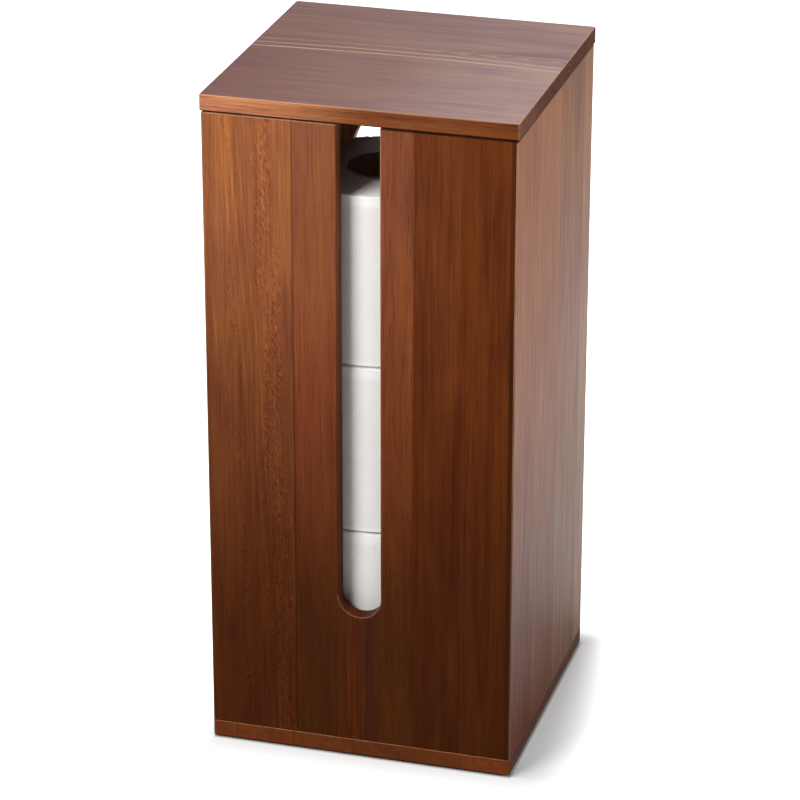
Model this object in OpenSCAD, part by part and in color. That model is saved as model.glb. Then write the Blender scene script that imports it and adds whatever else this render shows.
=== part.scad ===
// Freestanding toilet paper holder: a mitred timber case with a lift-off lid.
// Three rolls stand in it, one on another, on a raised inner floor. A slot in
// the front shows how many are left, and a large opening in the back lets a
// hand reach them. Lengths are in millimetres. +Z is up, the front faces -Y,
// and the origin is on the ground under the middle of the case.

/* [Case] */
// Width over the side walls
body_w = 178; // [170:1:210]
// Depth over the front and back walls
body_d = 175.4; // [168:0.1:210]
// Height of the free space between the top roll and the top of the walls
head_room = 43.8; // [20:0.1:120]
// Thickness of the wall boards
wall_t = 10; // [8:0.5:12]
// Thickness of the base board
base_t = 10; // [8:0.5:14]
// Rounding of the case's standing corners
corner_r = 1; // [0.5:0.1:3]

/* [Front slot] */
// Width of the slot, whose foot is half round
slot_w = 25; // [18:1:36]
// Height of the slot's lowest point over the underside of the base
slot_foot = 89; // [50:1:150]

/* [Back opening] */
// Width of the opening, whose ends are half round
opening_w = 112; // [96:1:124]
// Height of the opening's lowest point over the underside of the base
opening_foot = 89; // [50:1:140]
// Wood left between the top of the opening and the top of the wall
opening_head = 31.5; // [20:0.5:50]

/* [Inner floor] */
// Height of the two bearers that carry the floor
bearer_h = 15; // [12:0.5:24]
// Width of each bearer
bearer_w = 15; // [12:0.5:20]
// Thickness of the floor
floor_t = 9; // [6:0.5:12]
// Play between the floor and the walls, on each side
floor_play = 0.5; // [0.2:0.1:1.5]

/* [Lid] */
// Thickness of the lid board
lid_t = 9.5; // [8:0.5:14]
// Overhang of the lid past the walls, on each side
lid_over = 0.6; // [0.2:0.1:2]
// Height of the dark seam between the walls and the lid
seam_h = 0.8; // [0.5:0.1:2]
// Width of each cleat that keeps the lid in place
cleat_w = 12; // [10:0.5:16]
// Height of each cleat
cleat_h = 10; // [8:0.5:14]
// Play between a cleat and the walls round it
cleat_play = 1; // [0.5:0.1:2]
// Diameter of the bumpers under the lid
bumper_d = 7; // [5:0.5:8]
// Air left under each bumper
bumper_air = 0.1; // [0.05:0.05:0.3]

/* [Rolls] */
// Diameter of a full roll
roll_d = 101.6; // [95:0.1:112]
// Height of a roll
roll_h = 101.6; // [95:0.1:106]
// Bore of the cardboard core
core_bore = 40; // [36:0.5:46]
// Thickness of the cardboard
core_t = 1; // [0.6:0.1:2]
// Air between the core and the paper round it
core_fit = 0.05; // [0.02:0.01:0.2]
// Air under each roll
roll_air = 0.3; // [0.1:0.1:0.6]
// Air between the rolls and the front wall
roll_front_gap = 3.2; // [1:0.1:12]
// How far the stack stands to the right of the middle
roll_shift = -3.3; // [-8:0.1:8]

/* [Feet] */
// Diameter of each foot pad
pad_d = 16; // [12:1:20]
// Thickness of each foot pad
pad_t = 1.2; // [1:0.1:3]
// Distance from a pad's centre to each of the two walls' outer faces
pad_inset = 14; // [12:0.5:20]

/* [Screws] */
// How far the screws that hold the walls reach into them
wall_screw_bite = 20; // [10:1:40]
// How far the screws that hold the bearers reach into them
bearer_screw_bite = 10; // [6:0.5:11]
// How far the screws that hold the cleats reach into the lid
cleat_screw_bite = 6; // [4:0.5:7]
// Diameter of a screw's shank
screw_d = 3.5; // [3:0.1:4]
// Diameter of a screw's countersunk head
screw_head_d = 7; // [6:0.1:8]
// Distance from a front or back wall's screws to the side walls' outer faces
front_screw_inset = 30; // [26:1:50]
// Distance from a side wall's screws to the front and back walls' outer faces
side_screw_inset = 36; // [30:1:50]
// Distance from a bearer's screws to the front and back walls' outer faces
bearer_screw_inset = 44; // [34:1:60]
// Distance from a cleat's screws to the front and back walls' outer faces
cleat_screw_inset = 38; // [28:1:60]

/* [Hidden] */
$fn = 96;

// Radial air round a screw in its hole
screw_air = 0.05;
// Radius of a screw's blunt point, and the length of its taper
tip_r = 0.6;
tip_l = 3;
// Cross recess in a screw's head
recess_l = 3.8;
recess_w = 0.9;
recess_h = 1.2;
// Room past a screw's point in its hole
tip_room = 0.5;
// How far a cut runs past the face it opens
over = 1;
// Rolls in the stack: each is a pair of sub-parts below
roll_count = 3;

half_w = body_w / 2;
half_d = body_d / 2;
inner_half_w = half_w - wall_t;
inner_half_d = half_d - wall_t;

roll_pitch = roll_h + roll_air;
wall_h = bearer_h + floor_t + roll_pitch * roll_count + head_room;
base_z = pad_t;
wall_z = base_z + base_t;
wall_top = wall_z + wall_h;
lid_z = wall_top + seam_h;
floor_z = wall_z + bearer_h;
floor_top = floor_z + floor_t;

slot_r = slot_w / 2;
slot_z = base_z + slot_foot + slot_r;
opening_r = opening_w / 2;
opening_low_z = base_z + opening_foot + opening_r;
opening_high_z = wall_top - opening_head - opening_r;

bearer_x = inner_half_w - bearer_w / 2;
cleat_x = inner_half_w - cleat_play - cleat_w / 2;
cleat_l = (inner_half_d - cleat_play) * 2;
cleat_z = lid_z - cleat_h;

roll_r = roll_d / 2;
roll_y = roll_front_gap + roll_r - inner_half_d;
core_r = core_bore / 2;

screw_r = screw_d / 2;
screw_head_r = screw_head_d / 2;
screw_head_h = screw_head_r - screw_r;
wall_screw_l = base_t + wall_screw_bite;
bearer_screw_l = base_t + bearer_screw_bite;
cleat_screw_l = cleat_h + cleat_screw_bite;

// Each list holds the places of one group of screws, pads or bumpers
front_screw_places = corner_places(half_w - front_screw_inset, half_d - wall_t / 2);
side_screw_places = corner_places(half_w - wall_t / 2, half_d - side_screw_inset);
wall_screw_places = concat(front_screw_places, side_screw_places);
bearer_screw_places = corner_places(bearer_x, half_d - bearer_screw_inset);
cleat_screw_places = corner_places(cleat_x, half_d - cleat_screw_inset);
pad_places = corner_places(half_w - pad_inset, half_d - pad_inset);
bumper_places = corner_places(half_w - wall_t / 2, half_d - wall_t / 2);

walnut = [0.44, 0.24, 0.15];
dark_walnut = [0.34, 0.18, 0.12];
pine = [0.72, 0.55, 0.38];
paper_white = [0.95, 0.94, 0.92];
cardboard = [0.68, 0.55, 0.41];
felt_black = [0.09, 0.08, 0.08];
zinc = [0.74, 0.74, 0.72];

// Four places, mirrored about both middle planes
function corner_places(x, y) = [for (sx = [-1, 1], sy = [-1, 1]) [sx * x, sy * y, 0]];

// A block standing on z = 0, centred, with rounded standing corners
module rounded_block(w, d, h, r) {
    translate([-w / 2 + r, -d / 2, 0]) cube([w - r * 2, d, h]);
    translate([-w / 2, -d / 2 + r, 0]) cube([w, d - r * 2, h]);
    for (place = corner_places(w / 2 - r, d / 2 - r)) translate(place) cylinder(h = h, r = r);
}

// A block standing on z = 0, centred
module centred_block(w, d, h) {
    translate([-w / 2, -d / 2, 0]) cube([w, d, h]);
}

// A countersunk screw that points up, with its head's flat face on z = 0
module screw(length) {
    difference() {
        rotate_extrude() polygon([
            [0, 0],
            [screw_head_r, 0],
            [screw_r, screw_head_h],
            [screw_r, length - tip_l],
            [tip_r, length],
            [0, length]
        ]);
        for (turn = [0, 90]) rotate([0, 0, turn]) translate([0, 0, -over])
            centred_block(recess_l, recess_w, recess_h + over);
    }
}

// The hole for that screw, countersunk in the face at z = 0
module screw_hole(length) {
    rotate_extrude() polygon([
        [0, -over],
        [screw_head_r + screw_air + over, -over],
        [screw_r + screw_air, screw_head_h],
        [screw_r + screw_air, length + tip_room],
        [0, length + tip_room]
    ]);
}

module screws(places, length, z) {
    for (place = places) translate(place + [0, 0, z]) screw(length);
}

module screw_holes(places, length, z) {
    for (place = places) translate(place + [0, 0, z]) screw_hole(length);
}

// The four walls as one tube, before the mitres part them
module wall_tube() {
    translate([0, 0, wall_z]) difference() {
        rounded_block(body_w, body_d, wall_h, corner_r);
        translate([0, 0, -over]) centred_block(inner_half_w * 2, inner_half_d * 2, wall_h + over * 2);
    }
}

// One wall: the stretch of the tube between two mitres, with its screw holes.
// The mitre wedge is drawn for a wall at -Y or -X.
module wall(wedge) {
    difference() {
        intersection() {
            wall_tube();
            translate([0, 0, wall_z]) linear_extrude(wall_h) polygon(wedge);
        }
        screw_holes(wall_screw_places, wall_screw_l, base_z);
    }
}

front_wedge = [
    [-half_w, -half_d], [half_w, -half_d], [inner_half_w, -inner_half_d], [-inner_half_w, -inner_half_d]
];
left_wedge = [
    [-half_w, half_d], [-half_w, -half_d], [-inner_half_w, -inner_half_d], [-inner_half_w, inner_half_d]
];

module base_board() {
    color(dark_walnut) difference() {
        translate([0, 0, base_z]) rounded_block(body_w, body_d, base_t, corner_r);
        screw_holes(wall_screw_places, wall_screw_l, base_z);
        screw_holes(bearer_screw_places, bearer_screw_l, base_z);
    }
}

module front_panel() {
    color(walnut) difference() {
        wall(front_wedge);
        translate([-slot_r, -half_d - over, slot_z])
            cube([slot_w, wall_t + over * 2, wall_top - slot_z + over]);
        translate([0, -half_d - over, slot_z]) rotate([-90, 0, 0])
            cylinder(h = wall_t + over * 2, r = slot_r);
    }
}

module back_panel() {
    color(walnut) difference() {
        mirror([0, 1, 0]) wall(front_wedge);
        translate([-opening_r, inner_half_d - over, opening_low_z])
            cube([opening_w, wall_t + over * 2, opening_high_z - opening_low_z]);
        for (z = [opening_low_z, opening_high_z])
            translate([0, inner_half_d - over, z]) rotate([-90, 0, 0])
                cylinder(h = wall_t + over * 2, r = opening_r);
    }
}

module left_side_panel() {
    color(walnut) wall(left_wedge);
}

module right_side_panel() {
    color(walnut) mirror([1, 0, 0]) wall(left_wedge);
}

module inner_floor() {
    color(pine) translate([0, 0, floor_z])
        centred_block((inner_half_w - floor_play) * 2, (inner_half_d - floor_play) * 2, floor_t);
}

module floor_bearer(x) {
    color(pine) difference() {
        translate([x, 0, wall_z]) centred_block(bearer_w, inner_half_d * 2, bearer_h);
        screw_holes(bearer_screw_places, bearer_screw_l, base_z);
    }
}

module left_floor_bearer() {
    floor_bearer(-bearer_x);
}

module right_floor_bearer() {
    floor_bearer(bearer_x);
}

module wall_screws() {
    color(zinc) screws(wall_screw_places, wall_screw_l, base_z);
}

module bearer_screws() {
    color(zinc) screws(bearer_screw_places, bearer_screw_l, base_z);
}

module foot_pads() {
    color(felt_black) for (place = pad_places) translate(place) cylinder(h = pad_t, r = pad_d / 2);
}

module lid_board() {
    color(walnut) difference() {
        translate([0, 0, lid_z])
            rounded_block(body_w + lid_over * 2, body_d + lid_over * 2, lid_t, corner_r);
        screw_holes(cleat_screw_places, cleat_screw_l, cleat_z);
    }
}

module lid_cleat(x) {
    color(dark_walnut) difference() {
        translate([x, 0, cleat_z]) centred_block(cleat_w, cleat_l, cleat_h);
        screw_holes(cleat_screw_places, cleat_screw_l, cleat_z);
    }
}

module left_lid_cleat() {
    lid_cleat(-cleat_x);
}

module right_lid_cleat() {
    lid_cleat(cleat_x);
}

module cleat_screws() {
    color(zinc) screws(cleat_screw_places, cleat_screw_l, cleat_z);
}

module lid_bumpers() {
    color(felt_black) for (place = bumper_places)
        translate(place + [0, 0, wall_top + bumper_air]) cylinder(h = seam_h - bumper_air, r = bumper_d / 2);
}

// A ring that stands on the roll's place in the stack
module roll_ring(level, outer_r, inner_r) {
    translate([roll_shift, roll_y, floor_top + roll_air + roll_pitch * level]) difference() {
        cylinder(h = roll_h, r = outer_r);
        translate([0, 0, -over]) cylinder(h = roll_h + over * 2, r = inner_r);
    }
}

module roll_paper(level) {
    color(paper_white) roll_ring(level, roll_r, core_r + core_t + core_fit);
}

module roll_core(level) {
    color(cardboard) roll_ring(level, core_r + core_t, core_r);
}

module bottom_roll_paper() {
    roll_paper(0);
}

module bottom_roll_core() {
    roll_core(0);
}

module middle_roll_paper() {
    roll_paper(1);
}

module middle_roll_core() {
    roll_core(1);
}

module top_roll_paper() {
    roll_paper(2);
}

module top_roll_core() {
    roll_core(2);
}

base_board();
front_panel();
back_panel();
left_side_panel();
right_side_panel();
inner_floor();
left_floor_bearer();
right_floor_bearer();
wall_screws();
bearer_screws();
foot_pads();
lid_board();
left_lid_cleat();
right_lid_cleat();
cleat_screws();
lid_bumpers();
bottom_roll_paper();
bottom_roll_core();
middle_roll_paper();
middle_roll_core();
top_roll_paper();
top_roll_core();
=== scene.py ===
"""Freestanding toilet paper holder in walnut stained timber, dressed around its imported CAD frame.

The case, the lid and the stack of rolls are classes. Each one shapes its boards, rolls and
fittings with Blender's own modelling operators and gives them a procedural finish.
All sizes in the classes are in millimetres, and the meshes are in metres in the CAD frame.
"""

import logging
import math
from dataclasses import dataclass, field
from enum import Enum
from typing import Any, Callable, Optional, Sequence

import bmesh
import bpy
from mathutils import Matrix, Vector, noise


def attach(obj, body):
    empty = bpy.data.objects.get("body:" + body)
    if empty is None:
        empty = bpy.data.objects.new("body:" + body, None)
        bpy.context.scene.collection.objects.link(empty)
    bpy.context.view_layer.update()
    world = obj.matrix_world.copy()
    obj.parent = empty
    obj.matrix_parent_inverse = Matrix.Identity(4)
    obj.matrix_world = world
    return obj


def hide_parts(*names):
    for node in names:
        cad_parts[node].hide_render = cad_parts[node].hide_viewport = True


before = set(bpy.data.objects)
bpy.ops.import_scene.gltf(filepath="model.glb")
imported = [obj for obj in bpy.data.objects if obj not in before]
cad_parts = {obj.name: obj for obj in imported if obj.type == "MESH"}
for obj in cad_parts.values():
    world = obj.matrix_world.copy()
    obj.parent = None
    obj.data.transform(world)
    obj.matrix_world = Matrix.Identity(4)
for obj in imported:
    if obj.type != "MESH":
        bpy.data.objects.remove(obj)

log = logging.getLogger("holder")

MM = 0.001
NEAR = 0.01  # Places in millimetres that are closer than this count as the same.
Point = tuple[float, float, float]
Colour = tuple[float, float, float]
Socket = bpy.types.NodeSocket
Piece = bpy.types.Object


class GrainRun(Enum):
    """The way a board's grain runs, as the object axes across the board, through it and along it."""

    UPRIGHT_FRONT = ("X", "Y", "Z")
    UPRIGHT_SIDE = ("Y", "X", "Z")
    LEFT_TO_RIGHT = ("Y", "Z", "X")
    FRONT_TO_BACK = ("X", "Z", "Y")


class Wall(Enum):
    """A wall of the case, by the direction in which its outer face looks."""

    FRONT = (0, -1)
    BACK = (0, 1)
    LEFT = (-1, 0)
    RIGHT = (1, 0)


# Modelling bench


def deselect_all() -> None:
    """Leaves nothing selected, so that an operator acts on the new piece alone."""
    bpy.ops.object.select_all(action="DESELECT")


def take(piece: Piece) -> None:
    """Selects one piece alone and makes it the active one."""
    deselect_all()
    piece.select_set(True)
    bpy.context.view_layer.objects.active = piece


def set_down(piece: Piece) -> None:
    """Moves a piece's place, turn and size into its mesh, so that the object sits at the origin."""
    take(piece)
    bpy.ops.object.transform_apply(location=True, rotation=True, scale=True)


def settle(name: str) -> Piece:
    """Names the newly added piece, sets it down at the origin and returns it."""
    piece = bpy.context.active_object
    piece.name = name
    set_down(piece)
    return piece


class Shaping:
    """A spell of edit mode on one piece, with its verts, edges or faces picked by a test."""

    def __init__(self, piece: Piece) -> None:
        """Keeps the piece that is shaped."""
        self.piece = piece

    def __enter__(self) -> "Shaping":
        """Opens edit mode with nothing picked."""
        take(self.piece)
        bpy.ops.object.mode_set(mode="EDIT")
        bpy.ops.mesh.select_all(action="DESELECT")
        return self

    def __exit__(self, *_: Any) -> None:
        """Closes edit mode."""
        bpy.ops.object.mode_set(mode="OBJECT")

    def _pick(self, kind: str, test: Callable[[Any], bool]) -> "Shaping":
        """Picks the verts, edges or faces that pass the test, and nothing else."""
        bpy.ops.mesh.select_mode(type={"verts": "VERT", "edges": "EDGE", "faces": "FACE"}[kind])
        bpy.ops.mesh.select_all(action="DESELECT")
        mesh = bmesh.from_edit_mesh(self.piece.data)
        mesh.normal_update()
        for element in getattr(mesh, kind):
            element.select = test(element)
        mesh.select_flush_mode()
        bmesh.update_edit_mesh(self.piece.data)
        return self

    def verts(self, test: Callable[[Vector], bool]) -> "Shaping":
        """Picks the verts whose place in millimetres passes the test."""
        return self._pick("verts", lambda vert: test(vert.co / MM))

    def edges(self, test: Callable[[Vector, Vector], bool]) -> "Shaping":
        """Picks the edges whose two ends in millimetres pass the test."""
        return self._pick("edges", lambda edge: test(*(end.co / MM for end in edge.verts)))

    def faces(self, test: Callable[[Vector, Vector], bool]) -> "Shaping":
        """Picks the faces whose middle in millimetres and normal pass the test."""
        return self._pick("faces", lambda face: test(face.calc_center_median() / MM, face.normal))

    def everything(self) -> "Shaping":
        """Picks the whole mesh."""
        bpy.ops.mesh.select_mode(type="VERT")
        bpy.ops.mesh.select_all(action="SELECT")
        return self

    def slide(self, x: float = 0, y: float = 0, z: float = 0) -> "Shaping":
        """Moves what is picked by millimetres."""
        bpy.ops.transform.translate(value=(x * MM, y * MM, z * MM))
        return self

    def widen(self, centre: Point, x: float = 1, y: float = 1, z: float = 1) -> "Shaping":
        """Scales what is picked about a centre in millimetres."""
        bpy.ops.transform.resize(value=(x, y, z), center_override=[c * MM for c in centre])
        return self

    def extrude(self, x: float = 0, y: float = 0, z: float = 0) -> "Shaping":
        """Extrudes the picked faces by millimetres."""
        move = {"value": (x * MM, y * MM, z * MM)}
        bpy.ops.mesh.extrude_region_move(TRANSFORM_OT_translate=move)
        return self

    def bevel(self, width: float, segments: int, corners: bool = False) -> "Shaping":
        """Rounds the picked edges, or the picked corner points, by a width in millimetres."""
        affect = "VERTICES" if corners else "EDGES"
        bpy.ops.mesh.bevel(offset=width * MM, segments=segments, profile=0.5, affect=affect)
        return self

    def tidy(self) -> "Shaping":
        """Merges doubled points and turns all faces outwards."""
        self.everything()
        bpy.ops.mesh.remove_doubles(threshold=0.004 * MM)
        bpy.ops.mesh.normals_make_consistent(inside=False)
        return self


def start_block(name: str, low: Point, high: Point) -> Piece:
    """Adds a squared block between two corners.

    Args:
        name: The piece's name.
        low: Its lowest corner in millimetres.
        high: Its highest corner in millimetres.

    Returns:
        The new piece, at the origin, with its place in its mesh.
    """
    deselect_all()
    middle = [(a + b) / 2 * MM for a, b in zip(low, high)]
    size = [(b - a) * MM for a, b in zip(low, high)]
    bpy.ops.mesh.primitive_cube_add(size=1, location=middle, scale=size)
    return settle(name)


def start_board(name: str, low: Point, high: Point, corner: float, arris: float) -> Piece:
    """Adds a board between two corners, with its upright edges and its arrises rounded.

    Args:
        name: The piece's name.
        low: Its lowest corner in millimetres.
        high: Its highest corner in millimetres.
        corner: The rounding of its four upright edges.
        arris: The rounding of the edges round its two faces.

    Returns:
        The board.
    """
    board = start_block(name, low, high)
    with Shaping(board) as shape:
        shape.edges(lambda a, b: abs(a.z - b.z) > 1)
        shape.bevel(corner, segments=4)
        shape.edges(lambda a, b: abs(a.z - b.z) < NEAR)
        shape.bevel(arris, segments=3)
    return board


def start_rod(
    name: str, middle: Point, radius: float, length: float, along: str = "Z", sides: int = 48
) -> Piece:
    """Adds a round rod.

    Args:
        name: The piece's name.
        middle: Its middle in millimetres.
        radius: Its radius in millimetres.
        length: Its length in millimetres.
        along: The axis that it lies along, "Y" or "Z".
        sides: How many sides its rim has.

    Returns:
        The new piece, at the origin, with its place in its mesh.
    """
    deselect_all()
    turn = (math.pi / 2, 0, 0) if along == "Y" else (0, 0, 0)
    place = [c * MM for c in middle]
    bpy.ops.mesh.primitive_cylinder_add(
        vertices=sides, radius=radius * MM, depth=length * MM, location=place, rotation=turn
    )
    return settle(name)


def apply_boolean(piece: Piece, tool: Piece, operation: str) -> None:
    """Cuts a piece with a tool, or keeps only what lies inside the tool, and throws the tool away.

    Args:
        piece: The piece that is cut.
        tool: The closed shape that cuts it.
        operation: "DIFFERENCE" or "INTERSECT".
    """
    take(piece)
    cut = piece.modifiers.new("cut", "BOOLEAN")
    cut.operation = operation
    cut.solver = "EXACT"
    cut.object = tool
    bpy.ops.object.modifier_apply(modifier=cut.name)
    bpy.data.objects.remove(tool)


def join(pieces: Sequence[Piece], name: str) -> Piece:
    """Joins pieces, each with a mesh of its own, into one under a new name."""
    deselect_all()
    for piece in pieces:
        piece.select_set(True)
    bpy.context.view_layer.objects.active = pieces[0]
    bpy.ops.object.join()
    pieces[0].name = name
    return pieces[0]


def repeat(piece: Piece, places: Sequence[Point], name: str) -> Piece:
    """Sets a copy of a piece down at each offset in millimetres, as one piece, and drops the first."""
    copies = []
    for place in places:
        twin = piece.copy()
        twin.data = piece.data.copy()
        bpy.context.collection.objects.link(twin)
        twin.location = [c * MM for c in place]
        set_down(twin)
        copies.append(twin)
    bpy.data.objects.remove(piece)
    return join(copies, name)


def corners(x: float, y: float, z: float) -> list[Point]:
    """Returns the four places that mirror one place about the middle of the holder."""
    return [(side * x, end * y, z) for side in (-1, 1) for end in (-1, 1)]


def mark_arrises(
    piece: Piece, weight: Callable[[Vector, Vector], float] = lambda *_: 1.0, width: float = 0.6
) -> None:
    """Marks the narrow slanting faces of a board, where the finish wears thin.

    Args:
        piece: The board.
        weight: How worn an arris is, by the middle of its face in millimetres and its normal. Less
            than 0 stands for painted shade on an arris in a seam or in shadow.
        width: The widest face in millimetres that still counts as part of an arris.
    """
    mesh = piece.data
    marks = mesh.attributes.new("arris", "FLOAT", "FACE")
    for face in mesh.polygons:
        ends = [mesh.vertices[i].co for i in face.vertices]
        longest = max((a - b).length for a, b in zip(ends, ends[1:] + ends[:1]))
        slanting = max(abs(c) for c in face.normal) < 0.995
        if slanting and face.area / longest < width * MM:
            marks.data[face.index].value = weight(face.center / MM, face.normal)


def smooth(piece: Piece, angle: float = 40) -> None:
    """Shades a piece smooth across its soft edges and keeps its flat faces flat.

    Args:
        piece: The piece.
        angle: The sharpest edge in degrees that is shaded smooth.
    """
    take(piece)
    bpy.ops.object.shade_smooth_by_angle(angle=math.radians(angle))
    even = piece.modifiers.new("even", "WEIGHTED_NORMAL")
    even.keep_sharp = True
    bpy.ops.object.modifier_apply(modifier=even.name)


def hand_over(piece: Piece, body: str, nodes: Sequence[str], slot: str, finish: bpy.types.Material) -> None:
    """Gives a finished piece its finish and its body, and hides the CAD nodes that it stands for.

    Args:
        piece: The finished piece.
        body: The CAD body that carries it.
        nodes: The CAD nodes that it replaces.
        slot: The record's material slot; not used.
        finish: The material, unless the piece already has its own.
    """
    if not piece.data.materials:
        piece.data.materials.append(finish)
    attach(piece, body)
    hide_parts(*nodes)
    log.info("%s: %d faces on %s", piece.name, len(piece.data.polygons), body)


# Finishes


@dataclass(frozen=True)
class Spots:
    """Noise spots: how fine they are along each axis, and their detail, roughness and bend."""

    fineness: Point
    detail: float = 2
    rough: float = 0.5
    bend: float = 0


class Flow:
    """A number, vector or colour that leaves a node. Plain arithmetic on it adds Math nodes."""

    def __init__(self, bench: "NodeBench", socket: Socket) -> None:
        """Keeps the socket and the bench that its node is on."""
        self.bench = bench
        self.socket = socket

    def __add__(self, other: Any) -> "Flow":
        """Adds a number or another flow."""
        return self.bench.math("ADD", self, other)

    def __sub__(self, other: Any) -> "Flow":
        """Takes a number or another flow away."""
        return self.bench.math("SUBTRACT", self, other)

    def __mul__(self, other: Any) -> "Flow":
        """Multiplies by a number or another flow."""
        return self.bench.math("MULTIPLY", self, other)

    def __truediv__(self, other: Any) -> "Flow":
        """Divides by a number or another flow."""
        return self.bench.math("DIVIDE", self, other)

    def fit(self, low: float, high: float, to_low: Any = 0, to_high: Any = 1, soft: bool = True) -> "Flow":
        """Fits the number from one range to another, and holds it inside it."""
        node = self.bench.node("ShaderNodeMapRange", interpolation_type="SMOOTHSTEP" if soft else "LINEAR")
        for socket, given in zip(node.inputs, (self, low, high, to_low, to_high)):
            self.bench.feed(socket, given)
        return self.bench.out(node)

    def toward(self, other: Any, share: Any) -> "Flow":
        """Blends the colour with another by a share."""
        return self.bench.blend(share, self, other)

    def tint(self, shade: Any, share: Any = None) -> "Flow":
        """Multiplies the colour by a shade, wholly or by a share."""
        tinted = self.bench.blend(1.0, self, shade, "MULTIPLY")
        return tinted if share is None else self.toward(tinted, share)


def hypotenuse(side: Flow, other: Flow) -> Flow:
    """Returns the distance that two sides at a right angle span."""
    return side.bench.math("SQRT", side * side + other * other)


class NodeBench:
    """Builds one node tree, a node at a time."""

    def __init__(self, tree: bpy.types.NodeTree) -> None:
        """Clears the tree and keeps it."""
        self.tree = tree
        tree.nodes.clear()

    def node(self, kind: str, **settings: Any) -> bpy.types.Node:
        """Adds a node and sets its properties."""
        node = self.tree.nodes.new(kind)
        for key, value in settings.items():
            setattr(node, key, value)
        return node

    def feed(self, target: Socket, value: Any) -> None:
        """Links a socket to a flow, or gives it a plain value."""
        if isinstance(value, Flow):
            self.tree.links.new(value.socket, target)
        else:
            target.default_value = value

    def out(self, node: bpy.types.Node, name: Any = 0) -> Flow:
        """Returns what leaves a node, by the name or the number of its socket."""
        return Flow(self, node.outputs[name])

    def math(self, operation: str, *values: Any, clamp: bool = False) -> Flow:
        """Returns the result of a Math node on one or two values."""
        node = self.node("ShaderNodeMath", operation=operation, use_clamp=clamp)
        for socket, value in zip(node.inputs, values):
            self.feed(socket, value)
        return self.out(node)

    def stretch(self, vector: Flow, factors: Point) -> Flow:
        """Returns a vector multiplied axis by axis."""
        node = self.node("ShaderNodeVectorMath", operation="MULTIPLY")
        self.feed(node.inputs[0], vector)
        node.inputs[1].default_value = factors
        return self.out(node)

    def split(self, vector: Flow) -> list[Flow]:
        """Returns a vector's three parts."""
        node = self.node("ShaderNodeSeparateXYZ")
        self.feed(node.inputs[0], vector)
        return [Flow(self, socket) for socket in node.outputs]

    def merge(self, x: Any, y: Any, z: Any) -> Flow:
        """Returns the vector of three parts."""
        node = self.node("ShaderNodeCombineXYZ")
        for socket, value in zip(node.inputs, (x, y, z)):
            self.feed(socket, value)
        return self.out(node)

    def ray(self, *kinds: str) -> Flow:
        """Returns 1 for a ray of one of these kinds, and 0 for any other."""
        path = self.node("ShaderNodeLightPath")
        total, *others = (self.out(path, f"Is {kind} Ray") for kind in kinds)
        for other in others:
            total = self.math("MAXIMUM", total, other)
        return total


class FinishBench(NodeBench):
    """Builds one material."""

    def __init__(self, name: str) -> None:
        """Starts an empty material with its shader and output."""
        self.material = bpy.data.materials.new(name)
        self.material.use_nodes = True
        super().__init__(self.material.node_tree)
        self.shader = self.node("ShaderNodeBsdfPrincipled")
        self.feed(self.node("ShaderNodeOutputMaterial").inputs["Surface"], self.out(self.shader, "BSDF"))

    def place(self) -> Flow:
        """Returns the object coordinates in millimetres."""
        coordinates = self.out(self.node("ShaderNodeTexCoord"), "Object")
        return self.stretch(coordinates, (1 / MM, 1 / MM, 1 / MM))

    def about(self, axis: tuple[float, float]) -> tuple[Flow, Flow, Flow]:
        """Returns the distance from an upright axis, the angle round it from the front, and the height."""
        x, y, z = self.split(self.place())
        x, y = x - axis[0], y - axis[1]
        return hypotenuse(x, y), self.math("ARCTAN2", x, y * -1.0), z

    def noise(self, vector: Flow, spots: Spots) -> Flow:
        """Returns noise from 0 to 1 about 0.5."""
        node = self.node("ShaderNodeTexNoise")
        self.feed(node.inputs["Vector"], self.stretch(vector, spots.fineness))
        node.inputs["Scale"].default_value = 1
        node.inputs["Detail"].default_value = spots.detail
        node.inputs["Roughness"].default_value = spots.rough
        node.inputs["Distortion"].default_value = spots.bend
        return self.out(node)

    def ramp(self, value: Flow, stops: Sequence[tuple[float, Any]], kind: str = "LINEAR") -> Flow:
        """Returns a colour that changes with a value.

        Args:
            value: What drives the ramp.
            stops: Places from 0 to 1, each with a colour or one grey value.
            kind: How the ramp runs from stop to stop.

        Returns:
            The colour.
        """
        node = self.node("ShaderNodeValToRGB")
        self.feed(node.inputs[0], value)
        band = node.color_ramp
        band.interpolation = kind
        while len(band.elements) < len(stops):
            band.elements.new(1.0)
        while len(band.elements) > len(stops):
            band.elements.remove(band.elements[-1])
        for element, (at, colour) in zip(band.elements, stops):
            element.position = at
            element.color = (*(colour if isinstance(colour, tuple) else (colour,) * 3), 1.0)
        return self.out(node)

    def blend(self, share: Any, first: Any, second: Any, how: str = "MIX") -> Flow:
        """Returns two colours blended by a share."""
        node = self.node("ShaderNodeMix", data_type="RGBA", blend_type=how)
        sockets = [socket for socket in node.inputs if socket.enabled]
        for socket, value in zip(sockets, (share, first, second)):
            self.feed(socket, (*value, 1.0) if isinstance(value, tuple) else value)
        return Flow(self, next(socket for socket in node.outputs if socket.enabled))

    def raise_surface(self, height: Flow, depth: float) -> None:
        """Raises the surface by a height, where 1 stands for a depth in millimetres."""
        node = self.node("ShaderNodeBump")
        node.inputs["Strength"].default_value = 1
        node.inputs["Distance"].default_value = depth * MM
        self.feed(node.inputs["Height"], height)
        self.feed(self.shader.inputs["Normal"], self.out(node))

    def surface(self, **values: Any) -> None:
        """Sets the shader's own sockets, by their names with an underscore for each space."""
        for key, value in values.items():
            self.feed(self.shader.inputs[key.replace("_", " ")], value)


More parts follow.
